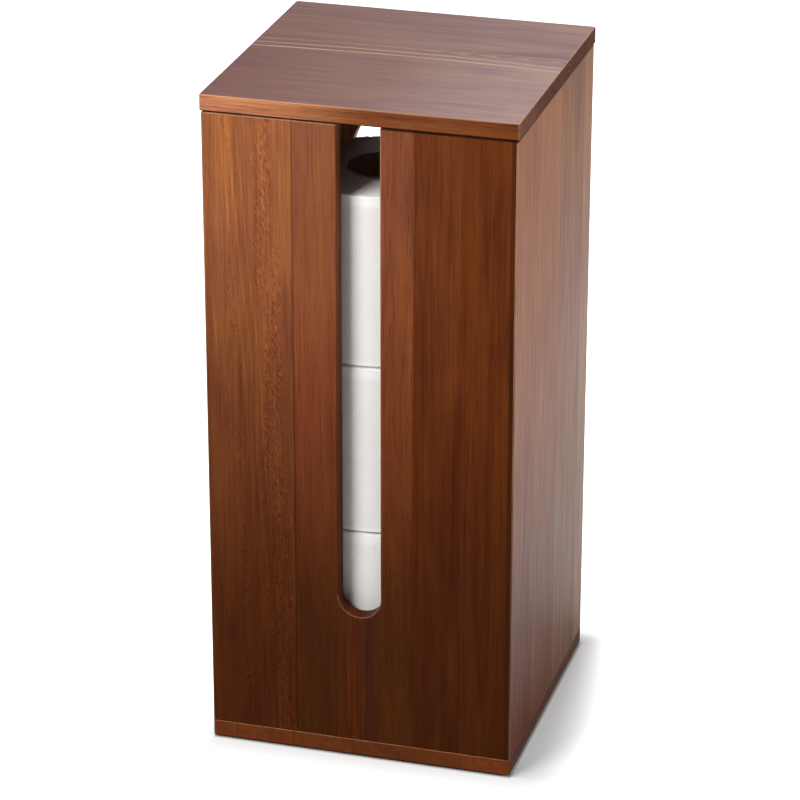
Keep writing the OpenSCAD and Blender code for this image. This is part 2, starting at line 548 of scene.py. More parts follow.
@dataclass(frozen=True)
class Stave:
    """One strip of a glued-up board, up to where the next one starts."""

    start: float
    head: Colour
    foot: Colour
    mid: Optional[Colour] = None
    fleck: float = 0.0
    streak: float = 0.5
    pores: float = 0.3

    @classmethod
    def even(cls, start: float, stain: Colour, **marks: float) -> "Stave":
        """Returns a stave with one stain from end to end."""
        return cls(start, stain, stain, **marks)

    def middle(self) -> Colour:
        """Returns the colour halfway along the fade, the mean of the two ends unless it is given."""
        return self.mid or tuple((a + b) / 2 for a, b in zip(self.head, self.foot))


@dataclass(frozen=True)
class Line:
    """A line that runs along the grain, such as a glued joint or a band of early wood."""

    at: float
    width: float
    depth: float


@dataclass(frozen=True)
class StainedWood:
    """Glued-up staves under walnut stain and a satin lacquer.

    The head and foot colours of a stave are those at the two ends of its fade, which runs
    along the grain through the given stops. On the walls and the lid, the fade and the
    staves' colours are partly painted light and shade.
    """

    name: str
    run: GrainRun
    staves: tuple[Stave, ...]
    across: tuple[float, float]
    along: tuple[float, float]
    fade: tuple[tuple[float, float], ...] = ((0.0, 0.0), (1.0, 1.0))
    joints: tuple[Line, ...] = ()
    pale_lines: tuple[Line, ...] = ()
    pale: Colour = (1.55, 1.45, 1.25)
    early_wood: Optional[Colour] = None
    sway: float = 10.0
    bow: tuple[float, float] = (0.0, 0.0)
    fleck_bands: tuple[Line, ...] = ()
    fibre: float = 1.9
    pith: tuple[float, float] = (30.0, -45.0)
    pith_tilt: float = 0.0
    ring: float = 3.2
    ring_depth: float = 0.12
    ring_reach: float = 400.0
    ring_wander: float = 26.0
    relief: float = 0.10
    specular: float = 0.3
    roughness: float = 0.42
    lean: float = 0.0
    rubbed: Colour = (0.42, 0.25, 0.17)
    rub: tuple[float, float] = (0.12, 0.45)
    # The near black that is painted on arrises marked below 0: painted shade in seams and shadow.
    painted_shade: Colour = (0.012, 0.004, 0.002)
    speck: float = 0.3

    def make(self) -> bpy.types.Material:
        """Returns the finish as a material."""
        return WoodBench(self).make()


class WoodBench(FinishBench):
    """Builds a stained wood step by step, on the colour and the height that it carries."""

    seed_step = (310, 170, 930)
    clouds = Spots((0.045, 0.045, 0.009), 3, 0.6, 0.4)
    cloud_tones = ((0.32, (0.76, 0.68, 0.80)), (0.50, (0.92, 0.90, 0.88)), (0.68, (1.04, 1.05, 0.86)))
    streaks = Spots((0.24, 0.24, 0.0085), 4, 0.58, 0.3)
    streak_tones = ((0.34, (0.60, 0.52, 0.50)), (0.50, (0.90, 0.90, 0.92)), (0.66, (1.06, 1.04, 0.92)))
    fibre_tones = ((0.30, (0.78, 0.73, 0.70)), (0.52, (0.98, 0.98, 0.98)), (0.72, (1.04, 1.04, 1.0)))
    threads = Spots((0.70, 0.70, 0.017), 3, 0.6)
    dark_thread, pale_thread = (0.66, 0.57, 0.53), (1.42, 1.34, 1.12)
    dashes = Spots((1.9, 1.9, 0.075), 1.5)
    pore_shade = (0.50, 0.40, 0.36)
    fleck_sway, fleck_swing, fleck_lean = Spots((1.0, 1.0, 0.011)), 14.0, 0.025
    fleck_patches, fleck_raggedness = Spots((0.16, 1.0, 0.018), 3, 0.6), 2.4
    ripples, ripple_lean = Spots((1.45, 1.45, 0.32), 2.5, 0.68, 0.8), 0.26
    ripple_tones = ((0.32, (0.50, 0.40, 0.35)), (0.42, (0.86, 0.80, 0.76)), (0.50, 1.0))
    ripple_light, ripple_light_share = (1.75, 1.55, 1.40), 0.9
    ring_sway = Spots((0.02, 0.02, 0.0035))
    ring_shares = ((0.0, 0.0), (0.72, 0.75), (0.90, 1.0), (1.0, 0.0))
    ring_shade = (0.30, 0.24, 0.24)
    joint_shade = (0.22, 0.16, 0.15)
    line_sway, line_breaks = Spots((1.0, 1.0, 0.006), 1.5), Spots((0.5, 0.5, 0.012))
    speck_grain, speck_colour = (0.035, 0.035, 0.022), (0.62, 0.42, 0.26)
    worn_patches = Spots((0.4, 0.4, 0.03), 3)
    gloss_patches = Spots((0.5, 0.5, 0.02), 3)

    def __init__(self, wood: StainedWood) -> None:
        """Finds each place on the board and sets out its staves."""
        super().__init__(wood.name)
        self.wood = wood
        axes = dict(zip("XYZ", self.split(self.place())))
        self.across, self.through, self.along = (axes[letter] for letter in wood.run.value)
        self.width_place = self.across.fit(*wood.across, soft=False)
        self.length_place = self.along.fit(*wood.along, soft=False)
        count = max(len(wood.staves), 2)
        numbers = {stave: (index + 1) / count for index, stave in enumerate(wood.staves)}
        seed = self._by_stave(lambda stave: numbers[stave])
        shift = self.node("ShaderNodeVectorMath", operation="ADD")
        self.feed(shift.inputs[0], self.merge(self.across, self.through, self.along))
        self.feed(shift.inputs[1], self.stretch(seed, self.seed_step))
        self.grain = self.out(shift)
        marks = self.node("ShaderNodeSeparateColor")
        self.feed(marks.inputs[0], self._by_stave(lambda stave: (stave.fleck, stave.streak, stave.pores)))
        self.fleck, self.streak, self.pores = (Flow(self, socket) for socket in marks.outputs)
        # On the walls and the lid this fade paints light and shade into the stain.
        fade = self.ramp(self.length_place, wood.fade, "B_SPLINE")
        lower = self._by_stave(lambda stave: stave.foot)
        lower = lower.toward(self._by_stave(lambda stave: stave.middle()), fade.fit(0.0, 0.5, soft=False))
        self.colour = lower.toward(self._by_stave(lambda stave: stave.head), fade.fit(0.5, 1.0, soft=False))
        self.fibres = self.noise(self.grain, Spots((wood.fibre, wood.fibre, 0.020), 3, 0.6))
        self.height = self.fibres * 0.30

    def make(self) -> bpy.types.Material:
        """Builds the finish and returns it."""
        self._tone()
        self._threads()
        self._pores_and_flecks()
        self._rings()
        self._joints()
        self._pale_lines()
        self._specks()
        self._wear_and_painted_shade()
        gloss = self.noise(self.grain, self.gloss_patches)
        rough = gloss.fit(0.3, 0.7, self.wood.roughness - 0.05, self.wood.roughness + 0.06)
        self.surface(Base_Color=self.colour, Roughness=rough, Specular_IOR_Level=self.wood.specular)
        self.raise_surface(self.height, self.wood.relief)
        return self.material

    def _by_stave(self, pick: Callable[[Stave], Any]) -> Flow:
        """Returns what pick gives for the stave at each place."""
        low, high = self.wood.across
        stops = [((stave.start - low) / (high - low), pick(stave)) for stave in self.wood.staves]
        return self.ramp(self.width_place, stops, "CONSTANT")

    def _comb(self, place: Flow, lines: Sequence[Line]) -> Flow:
        """Returns a share that rises to each line's depth at its place and is 0 elsewhere."""
        low, high = self.wood.across
        stops: list[tuple[float, float]] = [(0.0, 0.0)]
        for line in sorted(lines, key=lambda each: each.at):
            middle, half = (line.at - low) / (high - low), line.width / 2 / (high - low)
            stops += [(middle - half, 0.0), (middle, line.depth), (middle + half, 0.0)]
        return self.ramp(place, stops)

    def _tone(self) -> None:
        """Lets the stain drift between golden and purple brown, in clouds and in long streaks."""
        self.colour = self.colour.tint(self.ramp(self.noise(self.grain, self.clouds), self.cloud_tones))
        bands = self.ramp(self.noise(self.grain, self.streaks), self.streak_tones)
        self.colour = self.colour.tint(bands, self.streak)

    def _threads(self) -> None:
        """Adds fine fibres, and dark and pale threads."""
        self.colour = self.colour.tint(self.ramp(self.fibres, self.fibre_tones))
        thread = self.noise(self.grain, self.threads)
        self.colour = self.colour.tint(self.dark_thread, thread.fit(0.34, 0.44, 1, 0) * self.streak)
        self.colour = self.colour.tint(self.pale_thread, thread.fit(0.56, 0.68) * self.streak)

    def _fleck_share(self) -> Flow:
        """Returns how strongly flecks show, in bands that wind along the board."""
        if not self.wood.fleck_bands:
            return self.fleck
        sway = self.noise(self.merge(0.0, 0.0, self.along), self.fleck_sway)
        swayed = (sway - 0.5) * self.fleck_swing + self.across + self.along * self.fleck_lean
        band = self._comb(swayed.fit(*self.wood.across, soft=False), self.wood.fleck_bands)
        patches = self.noise(self.merge(swayed, 0.0, self.along), self.fleck_patches)
        return ((patches - 0.5) * self.fleck_raggedness + band).fit(0.25, 0.75) * self.fleck

    def _pores_and_flecks(self) -> None:
        """Adds dark pore dashes and bands of rippled flecks."""
        pore = self.noise(self.grain, self.dashes).fit(0.60, 0.68) * self.pores
        self.colour = self.colour.tint(self.pore_shade, pore)
        across, through, along = self.split(self.grain)
        leaning = self.merge(along * self.ripple_lean + across, through, along)
        ripple = self.noise(leaning, self.ripples)
        flecked = self.colour.tint(self.ramp(ripple, self.ripple_tones))
        flecked = flecked.tint(self.ripple_light, ripple.fit(0.53, 0.66) * self.ripple_light_share)
        share = self._fleck_share()
        self.colour = self.colour.toward(flecked, share)
        self.height = self.height + (ripple - 0.5) * (share * 0.9) - pore * 0.5

    def _rings(self) -> None:
        """Adds growth rings, which show as arcs on end grain and as arches on the faces."""
        wood = self.wood
        tilt = wood.pith_tilt
        depth = self.along * -tilt + (self.through - (wood.pith[1] - tilt * wood.along[1]))
        far = hypotenuse(self.across - wood.pith[0], depth)
        near = far.fit(wood.ring_reach * 0.5, wood.ring_reach, 1.0, 0.0)
        far = self.noise(self.grain, self.ring_sway) * wood.ring_wander + far
        late = self.ramp(self.math("FRACT", far / wood.ring), self.ring_shares)
        self.colour = self.colour.tint(self.ring_shade, late * wood.ring_depth * near)

    def _joints(self) -> None:
        """Adds the glued joints between the staves."""
        if self.wood.joints:
            joint = self._comb(self.width_place, self.wood.joints)
            self.colour = self.colour.tint(self.joint_shade, joint)
            self.height = self.height - joint * 0.8

    def _pale_lines(self) -> None:
        """Adds the pale bands of early wood, which sway and bow along the board."""
        wood = self.wood
        if not wood.pale_lines:
            return
        sway = self.noise(self.merge(0.0, 0.0, self.along), self.line_sway)
        bent = (self.along - wood.bow[0]) / wood.along[1]
        swayed = (sway - 0.5) * wood.sway + self.across + self.along * wood.lean + bent * bent * wood.bow[1]
        pale = self._comb(swayed.fit(*wood.across, soft=False), wood.pale_lines)
        share = pale * self.noise(self.grain, self.line_breaks).fit(0.30, 0.55, 0.35, 1.0)
        self.colour = self.colour.toward(wood.early_wood or self.colour.tint(wood.pale), share)
        self.height = self.height + pale * 0.25

    def _specks(self) -> None:
        """Leaves a few pale specks."""
        spots = self.node("ShaderNodeTexVoronoi", feature="F1")
        self.feed(spots.inputs["Vector"], self.stretch(self.grain, self.speck_grain))
        spots.inputs["Scale"].default_value = 1
        share = self.out(spots, "Distance").fit(0.012, 0.030, 1, 0) * self.wood.speck
        self.colour = self.colour.toward(self.speck_colour, share)

    def _wear_and_painted_shade(self) -> None:
        """Thins the stain on the worn arrises, most at the head, and paints shade on the arrises marked below
        0.
        """
        arris = self.out(self.node("ShaderNodeAttribute", attribute_name="arris"), "Fac")
        patchy = self.noise(self.grain, self.worn_patches).fit(0.35, 0.65, 0.6, 1.0)
        share = patchy * self.length_place.fit(0.15, 1.0, *self.wood.rub)
        worn = self.math("MULTIPLY", self.math("MAXIMUM", arris, 0.0), share, clamp=True)
        # Arrises marked below 0 blend towards a near black: painted shade.
        painted_shade_share = self.math("MULTIPLY", arris, -1.0, clamp=True)
        self.colour = self.colour.toward(self.wood.rubbed, worn).toward(self.wood.painted_shade, painted_shade_share)


def shaded(colour: Colour, factor: float) -> Colour:
    """Returns a colour made darker, or lighter, by a factor."""
    return tuple(part * factor for part in colour)


@dataclass(frozen=True)
class Tissue:
    """Soft tissue paper, embossed in dotted diagonal rows on the side of a roll, with painted shade in the
    dimples.
    """

    name: str = "tissue"
    axis: tuple[float, float] = (-3.3, -23.7)
    radius: float = 50.8
    colour: Colour = (0.93, 0.92, 0.90)
    dimple_shade: Colour = (0.74, 0.72, 0.70)
    row_pitch: float = 1.25
    dot_pitch: float = 1.1
    plain_edges: tuple[float, float] = (3.0, 7.0)
    edge_fade: float = 1.5
    depth: float = 0.16
    crush: Spots = Spots((0.09, 0.09, 0.05), 3)
    fluff: Spots = Spots((2.5, 2.5, 2.5))
    layers: Spots = Spots((2.6, 0.5, 0.02), 3, 0.65)
    broad_layers: Spots = Spots((0.35, 0.9, 0.02))
    end_depth: float = 0.35

    def make(self, low: float, high: float) -> bpy.types.Material:
        """Returns the finish for the side of a roll between two heights in millimetres."""
        bench = FinishBench(self.name)
        _, angle, z = bench.about(self.axis)
        arc = angle * self.radius
        waves = []
        for run, pitch in ((z - arc, self.row_pitch), (z + arc, self.dot_pitch)):
            waves.append(bench.math("COSINE", run * (math.tau / (pitch * math.sqrt(2)))))
        dimple = waves[0].fit(0.35, 1.0) * waves[1].fit(-1.0, 0.6, 0.35, 1.0)
        for inside, plain in zip((z - low, (z - high) * -1.0), self.plain_edges):
            dimple = dimple * inside.fit(plain - self.edge_fade, plain + self.edge_fade)
        crush = bench.noise(bench.place(), self.crush)
        shade = bench.ramp(crush, ((0.3, shaded(self.colour, 0.97)), (0.7, self.colour)))
        height = crush * 1.5 + (bench.noise(bench.place(), self.fluff) * 0.25 - dimple)
        bench.raise_surface(height, self.depth)
        # The dimples are tinted darker: painted shade in the embossing.
        bench.surface(Base_Color=shade.tint(self.dimple_shade, dimple), Roughness=0.92, Specular_IOR_Level=0.15)
        bench.surface(Sheen_Weight=0.15, Sheen_Roughness=0.6)
        return bench.material

    def make_end(self) -> bpy.types.Material:
        """Returns the finish for a roll's ends, where the layers of paper show as rings."""
        bench = FinishBench(self.name + "_end")
        far, angle, z = bench.about(self.axis)
        around = bench.merge(far, angle * 1.3, z)
        layer = bench.noise(around, self.layers)
        bench.raise_surface(bench.noise(around, self.broad_layers) * 0.8 + layer, self.end_depth)
        shade = bench.ramp(layer, ((0.32, shaded(self.colour, 0.80)), (0.55, self.colour)))
        bench.surface(Base_Color=shade, Roughness=0.95, Specular_IOR_Level=0.1, Sheen_Weight=0.15)
        return bench.material


@dataclass(frozen=True)
class CoreBoard:
    """Grey brown board wound in a spiral, as in a roll's core."""

    name: str = "core_board"
    axis: tuple[float, float] = (-3.3, -23.7)
    radius: float = 20.5
    colour: Colour = (0.50, 0.36, 0.27)
    pulp: Spots = Spots((1.2, 1.2, 1.2), 4, 0.7)
    lap: tuple[tuple[float, float], ...] = ((0.0, 1), (0.008, 0), (0.992, 0), (1.0, 1))
    lap_shade: Colour = (0.5, 0.47, 0.44)
    depth: float = 0.08

    def make(self) -> bpy.types.Material:
        """Returns the finish as a material."""
        bench = FinishBench(self.name)
        _, angle, z = bench.about(self.axis)
        wind = bench.math("FRACT", (z + angle * self.radius) / (math.tau * self.radius))
        lap = bench.ramp(wind, self.lap)
        pulp = bench.noise(bench.place(), self.pulp)
        shade = bench.ramp(pulp, ((0.30, shaded(self.colour, 0.78)), (0.70, self.colour)))
        bench.raise_surface(pulp - lap * 1.5, self.depth)
        bench.surface(Base_Color=shade.tint(self.lap_shade, lap), Roughness=0.88, Specular_IOR_Level=0.2)
        return bench.material


@dataclass(frozen=True)
class ZincSteel:
    """Bright zinc plating on a turned screw."""

    name: str = "screw_steel"
    colour: Colour = (0.62, 0.61, 0.58)
    tarnish: Spots = Spots((0.5, 0.5, 0.5), 4, 0.6)
    scratches: Spots = Spots((6.0, 1.2, 3.0))
    depth: float = 0.02

    def make(self) -> bpy.types.Material:
        """Returns the finish as a material."""
        bench = FinishBench(self.name)
        tarnish = bench.noise(bench.place(), self.tarnish)
        shade = bench.ramp(tarnish, ((0.35, shaded(self.colour, 0.72)), (0.65, self.colour)))
        bench.raise_surface(bench.noise(bench.place(), self.scratches), self.depth)
        bench.surface(Base_Color=shade, Roughness=tarnish.fit(0.3, 0.7, 0.24, 0.42), Metallic=1.0)
        return bench.material


@dataclass(frozen=True)
class PadRubber:
    """Matt black rubber with a fine pebbled face."""

    name: str = "pad_rubber"
    colour: Colour = (0.022, 0.021, 0.021)
    dust: Spots = Spots((0.7, 0.7, 0.7), 3)
    pebbles: Spots = Spots((4.0, 4.0, 4.0), 1)
    depth: float = 0.06

    def make(self) -> bpy.types.Material:
        """Returns the finish as a material."""
        bench = FinishBench(self.name)
        dust = bench.noise(bench.place(), self.dust)
        shade = bench.ramp(dust, ((0.40, self.colour), (0.75, shaded(self.colour, 1.9))))
        bench.raise_surface(bench.noise(bench.place(), self.pebbles), self.depth)
        bench.surface(Base_Color=shade, Roughness=0.78, Specular_IOR_Level=0.35)
        return bench.material


# The walls' fade from foot to head, which is painted shade: the lower quarter keeps the darkest foot colours
# and the walls lighten towards the top.
FADE_UPRIGHT = ((0.0, 0.0), (0.25, 0.0), (0.42, 0.30), (0.6, 0.54), (0.8, 0.92), (1.0, 1.0))

FRONT_WOOD = StainedWood(
    name="front_wood",
    run=GrainRun.UPRIGHT_FRONT,
    across=(-89.0, 89.0),
    along=(11.2, 384.7),
    fade=FADE_UPRIGHT,
    # Each stave darkens towards the foot as painted shade. The staves also darken towards the right, partly
    # their own tone and partly painted shade, and the last stave, at the right edge, is a painted dark band.
    staves=(
        Stave(-89.0, (0.33, 0.118, 0.048), (0.074, 0.0182, 0.0036), (0.180, 0.0545, 0.0185), 1.0, 0.50, 0.30),
        Stave(-37.6, (0.26, 0.088, 0.041), (0.06, 0.0158, 0.0027), (0.182, 0.0465, 0.017), 0.0, 0.35, 0.3),
        Stave(-13.0, (0.25, 0.076, 0.028), (0.088, 0.0205, 0.0036), (0.185, 0.0500, 0.0150), 0.0, 0.8, 0.4),
        Stave(-2.5, (0.23, 0.071, 0.030), (0.066, 0.0170, 0.0040), (0.150, 0.0420, 0.0150), 0.0, 0.5, 0.3),
        Stave(3.2, (0.22, 0.066, 0.034), (0.056, 0.0145, 0.0055), (0.145, 0.0395, 0.0160), 0.0, 0.4, 0.2),
        Stave(11.0, (0.235, 0.076, 0.031), (0.072, 0.0195, 0.0034), (0.185, 0.0480, 0.0140), 0.0, 0.40, 0.5),
        Stave(30.8, (0.16, 0.043, 0.0115), (0.064, 0.0145, 0.0024), (0.112, 0.0265, 0.0062), 0.0, 0.5, 0.35),
        Stave(58.5, (0.138, 0.034, 0.008), (0.07, 0.0168, 0.0027), (0.113, 0.0265, 0.0055), 0.0, 0.5, 0.35),
        Stave(85.0, (0.085, 0.019, 0.0036), (0.045, 0.0110, 0.0010), (0.062, 0.0140, 0.0020), 0.0, 0.4, 0.3),
    ),
    joints=(
        Line(-37.6, 0.9, 0.75),
        Line(-28.8, 0.7, 0.30),
        Line(11.0, 0.7, 0.25),
        Line(24.6, 0.7, 0.25),
        Line(30.8, 0.9, 0.65),
        Line(44.9, 0.7, 0.20),
        Line(58.5, 0.8, 0.22),
    ),
    pale_lines=(
        Line(-66.0, 1.2, 0.5),
        Line(-51.5, 0.9, 0.6),
        Line(-47.0, 1.6, 0.8),
        Line(-42.4, 1.2, 0.8),
        Line(-30.0, 1.0, 0.35),
        Line(-20.5, 1.2, 0.6),
    ),
    fleck_bands=(Line(-66.0, 14.0, 0.6), Line(-44.5, 25.0, 1.0)),
    lean=0.07,
    rub=(0.12, 0.75),
    specular=0.03,
    ring_depth=0.05,
    relief=0.12,
)

SIDE_WOOD = StainedWood(
    name="side_wood",
    run=GrainRun.UPRIGHT_SIDE,
    across=(-87.7, 87.7),
    along=(11.2, 384.7),
    fade=FADE_UPRIGHT,
    # The staves darken towards the foot as painted shade, and the back staves' greyer colours are painted
    # sheen.
    staves=(
        Stave(-87.7, (0.290, 0.088, 0.014), (0.088, 0.014, 0.001), (0.235, 0.064, 0.014), 0.0, 0.30, 0.15),
        Stave(-40.0, (0.310, 0.104, 0.026), (0.115, 0.032, 0.008), (0.255, 0.082, 0.028), 0.0, 0.30, 0.15),
        Stave(12.0, (0.240, 0.094, 0.040), (0.165, 0.074, 0.042), (0.270, 0.120, 0.078), 0.0, 0.50, 0.35),
        Stave(66.0, (0.300, 0.125, 0.068), (0.215, 0.120, 0.085), (0.330, 0.180, 0.130), 0.0, 0.45, 0.25),
    ),
    joints=(Line(-40.0, 0.8, 0.10), Line(12.0, 1.1, 0.35), Line(66.0, 0.8, 0.3)),
    fibre=0.7,
    specular=0.205,
    roughness=0.38,
    ring_depth=0.05,
    relief=0.08,
    rub=(0.2, 0.7),
)

BACK_WOOD = StainedWood(
    name="back_wood",
    run=GrainRun.UPRIGHT_FRONT,
    across=(-89.0, 89.0),
    along=(11.2, 384.7),
    fade=FADE_UPRIGHT,
    # The staves darken towards the foot as on the other walls: painted shade.
    staves=(
        Stave(-89.0, (0.25, 0.085, 0.036), (0.12, 0.036, 0.012), streak=0.8, pores=0.5),
        Stave(-47.0, (0.28, 0.095, 0.042), (0.13, 0.040, 0.013), fleck=0.8, streak=0.4, pores=0.2),
        Stave(-3.0, (0.24, 0.080, 0.034), (0.12, 0.036, 0.012), streak=0.6, pores=0.4),
        Stave(41.0, (0.29, 0.100, 0.042), (0.14, 0.042, 0.014), streak=0.5, pores=0.3),
    ),
    joints=(Line(-47.0, 0.9, 0.6), Line(-3.0, 0.9, 0.5), Line(41.0, 0.9, 0.6)),
    pith=(-20.0, 40.0),
    ring_depth=0.10,
    specular=0.12,
)

BASE_WOOD = StainedWood(
    name="base_wood",
    run=GrainRun.FRONT_TO_BACK,
    across=(-89.0, 89.0),
    along=(-87.7, 87.7),
    staves=tuple(
        Stave.even(start, stain, streak=0.4, pores=0.3)
        for start, stain in (
            (-89.0, (0.156, 0.0377, 0.0084)),
            (-74.4, (0.165, 0.0403, 0.0087)),
            (-40.3, (0.138, 0.0338, 0.0073)),
            (-33.8, (0.160, 0.0390, 0.0084)),
            (-22.8, (0.147, 0.0364, 0.0078)),
            (9.6, (0.140, 0.0351, 0.0078)),
            (60.9, (0.175, 0.0442, 0.0090)),
            (67.2, (0.185, 0.0468, 0.0095)),
        )
    ),
    joints=(
        Line(-74.4, 0.9, 0.5),
        Line(-40.3, 0.9, 0.7),
        Line(-33.8, 0.8, 0.35),
        Line(-22.8, 0.9, 0.6),
        Line(9.6, 0.8, 0.35),
        Line(60.9, 0.8, 0.3),
        Line(67.2, 0.8, 0.35),
    ),
    pith=(10.0, -60.0),
    ring=2.4,
    ring_depth=0.12,
    specular=0.06,
    rubbed=(0.42, 0.20, 0.09),
    rub=(0.65, 0.3),
)

# A greyer copy of the base stain for the base's left and right faces: painted sheen.
BASE_SIDE_PAINTED_SHEEN = StainedWood(
    name="base_side_painted_sheen",
    run=GrainRun.FRONT_TO_BACK,
    across=(-89.0, 89.0),
    along=(-87.7, 87.7),
    staves=(Stave(-89.0, (0.110, 0.048, 0.030), (0.075, 0.028, 0.017), streak=0.3, pores=0.3),),
    ring_depth=0.10,
    specular=0.10,
)

LID_WOOD = StainedWood(
    name="lid_wood",
    run=GrainRun.LEFT_TO_RIGHT,
    across=(-88.3, 88.3),
    along=(-89.6, 89.6),
    # Each stave fades from a saturated brown at the left end to a greyish tone at the right; that grey is
    # partly stain and partly painted sheen.
    staves=(
        Stave(-88.3, (0.255, 0.165, 0.150), (0.075, 0.008, 0.001), (0.128, 0.056, 0.045), 0.0, 0.45, 0.6),
        Stave(24.0, (0.200, 0.112, 0.098), (0.095, 0.022, 0.008), (0.132, 0.060, 0.050), 0.0, 0.3, 0.25),
    ),
    fade=((0.0, 0.0), (0.5, 0.5), (1.0, 1.0)),
    pale_lines=(Line(6.0, 1.9, 1.0), Line(12.5, 1.8, 0.75), Line(20.0, 1.6, 0.4)),
    early_wood=(0.40, 0.26, 0.18),
    sway=1.6,
    bow=(0.0, 4.0),
    pith=(19.0, 392.8),
    pith_tilt=0.11,
    ring=1.9,
    ring_depth=0.85,
    ring_reach=15.0,
    ring_wander=3.0,
    specular=0.205,
    roughness=0.36,
    relief=0.06,
    rub=(0.3, 0.5),
)

LID_EDGE_PAINTED_LIGHT = StainedWood(
    name="lid_edge_painted_light",
    run=GrainRun.LEFT_TO_RIGHT,
    across=(-88.3, 88.3),
    along=(-89.6, 89.6),
    # The front edge is brightest at the left end and darkens towards the right: a painted highlight.
    staves=(Stave(-88.3, (0.158, 0.041, 0.0095), (0.57, 0.240, 0.118), streak=0.6, pores=0.7),),
    fade=((0.0, 0.0), (0.3, 0.24), (0.5, 0.98), (0.7, 0.80), (1.0, 1.0)),
    pith=(-88.0, 402.0),
    ring=2.2,
    ring_depth=0.20,
    specular=0.03,
    rub=(0.45, 0.25),
)

LID_END_WOOD = StainedWood(
    name="lid_end_wood",
    run=GrainRun.LEFT_TO_RIGHT,
    across=(-88.3, 88.3),
    along=(-89.6, 89.6),
    staves=(Stave.even(-88.3, (0.160, 0.070, 0.048), streak=0.1, pores=0.1),),
    pith=(20.0, 380.0),
    ring=3.4,
    ring_depth=1.0,
    ring_reach=90.0,
    ring_wander=3.0,
    specular=0.01,
    roughness=0.55,
    rub=(0.5, 0.35),
)

INNER_WOOD = StainedWood(
    name="inner_wood",
    run=GrainRun.FRONT_TO_BACK,
    across=(-79.0, 79.0),
    along=(-77.7, 77.7),
    staves=(
        Stave.even(-79.0, (0.22, 0.080, 0.035), pores=0.4),
        Stave.even(-26.0, (0.25, 0.090, 0.040), pores=0.3),
        Stave.even(27.0, (0.21, 0.075, 0.033), pores=0.4),
    ),
    joints=(Line(-26.0, 0.9, 0.5), Line(27.0, 0.9, 0.5)),
    specular=0.12,
    roughness=0.6,
    ring_depth=0.18,
)

CLEAT_WOOD = StainedWood(
    name="cleat_wood",
    run=GrainRun.FRONT_TO_BACK,
    across=(-80.0, 80.0),
    along=(-77.7, 77.7),
    staves=(
        Stave.even(-80.0, (0.20, 0.070, 0.030), pores=0.4),
        Stave.even(0.0, (0.23, 0.080, 0.034), pores=0.4),
    ),
    specular=0.12,
    roughness=0.6,
    ring_depth=0.2,
    pith=(60.0, 330.0),
)


@dataclass
class Screws:
    """Countersunk wood screws with a cross recess, as a set that is one piece."""

    head_radius: float = 3.5
    shank_radius: float = 1.75
    tip_radius: float = 0.5
    tip: float = 2.0
    recess_arm: float = 2.0
    recess_width: float = 0.85
    recess_depth: float = 1.1
    recess_taper: float = 0.55
    rim: float = 0.12
    sides: int = 28

    def build(self, name: str, places: Sequence[Point], length: float) -> Piece:
        """Turns one screw, cuts its recess and sets a copy of it at each place.

        Args:
            name: The set's name.
            places: Where each head's flat face has its middle, in millimetres.
            length: The length over all, pointing up.

        Returns:
            The set as one piece.
        """
        head = self.head_radius - self.shank_radius
        screw = start_rod(name, (0, 0, self.rim / 2), self.head_radius, self.rim, sides=self.sides)
        steps = (
            (head - self.rim, self.shank_radius / self.head_radius),
            (length - self.tip - head, 1.0),
            (self.tip, self.tip_radius / self.shank_radius),
        )
        with Shaping(screw) as shape:
            top = self.rim
            for rise, shrink in steps:
                shape.faces(lambda middle, normal: middle.z > top - NEAR and normal.z > 0.9)
                shape.extrude(z=rise)
                shape.widen((0, 0, 0), x=shrink, y=shrink)
                top += rise
            shape.tidy()
        for turn in (0, 1):
            arms = (self.recess_width / 2, self.recess_arm)
            x, y = arms[::-1] if turn else arms
            slot = start_block("recess", (-x, -y, -1), (x, y, self.recess_depth))
            with Shaping(slot) as shape:
                shape.faces(lambda middle, normal: normal.z > 0.9)
                shape.widen((0, 0, 0), x=self.recess_taper, y=self.recess_taper)
            apply_boolean(screw, slot, "DIFFERENCE")
        whole = repeat(screw, places, name)
        smooth(whole, angle=35)
        return whole

    def holes(self, places: Sequence[Point], length: float, air: float = 0.1) -> Piece:
        """Returns the shape of the holes for a set of screws, a little wider than the screws.

        Args:
            places: Where each head's flat face has its middle, in millimetres.
            length: How deep the holes go.
            air: The room round a screw.

        Returns:
            One tool that cuts all the holes.
        """
        head = self.head_radius - self.shank_radius
        drill = start_rod("drill", (0, 0, -0.5), self.head_radius + air, 1.0, sides=self.sides)
        with Shaping(drill) as shape:
            shape.faces(lambda middle, normal: middle.z > -NEAR and normal.z > 0.9)
            shape.extrude(z=head + air)
            shrink = (self.shank_radius + air) / (self.head_radius + air)
            shape.widen((0, 0, 0), x=shrink, y=shrink)
            shape.extrude(z=length - head)
            shape.tidy()
        return repeat(drill, places, "drills")


@dataclass
class Discs:
    """Round pads or bumpers with softened rims, as a set that is one piece."""

    radius: float
    height: float
    rim: float

    def build(self, name: str, places: Sequence[Point]) -> Piece:
        """Shapes one disc and sets a copy of it at each place.

        Args:
            name: The set's name.
            places: Where each disc's lower face has its middle, in millimetres.

        Returns:
            The set as one piece.
        """
        disc = start_rod(name, (0, 0, self.height / 2), self.radius, self.height, sides=40)
        with Shaping(disc) as shape:
            shape.edges(lambda a, b: abs(a.z - b.z) < NEAR)
            shape.bevel(self.rim, segments=3)
        whole = repeat(disc, places, name)
        smooth(whole, angle=50)
        return whole


